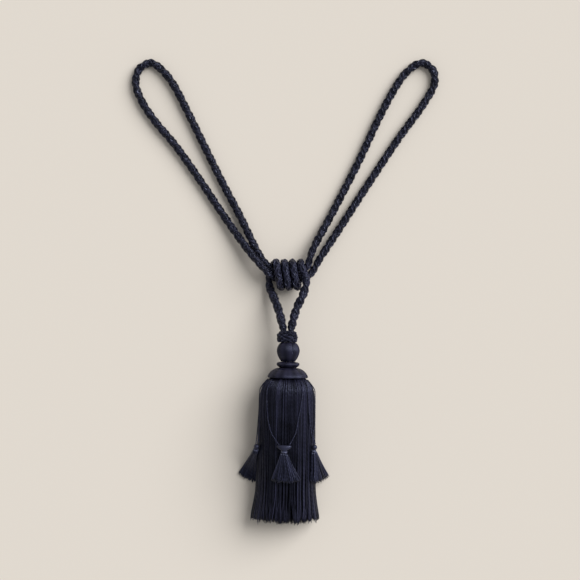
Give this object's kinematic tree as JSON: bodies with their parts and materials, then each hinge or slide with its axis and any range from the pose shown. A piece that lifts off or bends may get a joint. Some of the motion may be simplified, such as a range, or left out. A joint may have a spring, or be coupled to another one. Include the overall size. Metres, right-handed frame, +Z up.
{
  "type": "tassel tieback",
  "caption": "Navy curtain tieback in a flat lay: a plaited rope ring bound into a long eye on each side, over a ball, disc and cap head with a long thread skirt and small tassels.",
  "frame": {"origin": "On the surface it lies on, under the middle of the tassel (collar to hem)", "axes": "+X to the right seen from above, +Y from the hem towards the eyes of the rope, +Z up off the surface"},
  "size_m": [0.3679, 0.5514, 0.0572],
  "materials": {
    "navy_rope": "satin",
    "navy_satin_wrap": "satin",
    "navy_thread": "satin"
  },
  "bodies": {
    "root": {"ring_rope": "navy_rope", "tassel_rope": "navy_rope", "leg_collar": "navy_rope", "front_hanger_left": "navy_rope", "front_hanger_right": "navy_rope", "left_hanger_upper": "navy_rope", "left_hanger_lower": "navy_rope", "right_hanger_upper": "navy_rope", "right_hanger_lower": "navy_rope", "head_ball": "navy_satin_wrap", "head_disc": "navy_satin_wrap", "head_cap": "navy_satin_wrap", "skirt": "navy_thread", "small_tassel_front": "navy_thread", "small_tassel_left": "navy_thread", "small_tassel_right": "navy_thread"}
  },
  "joints": []
}
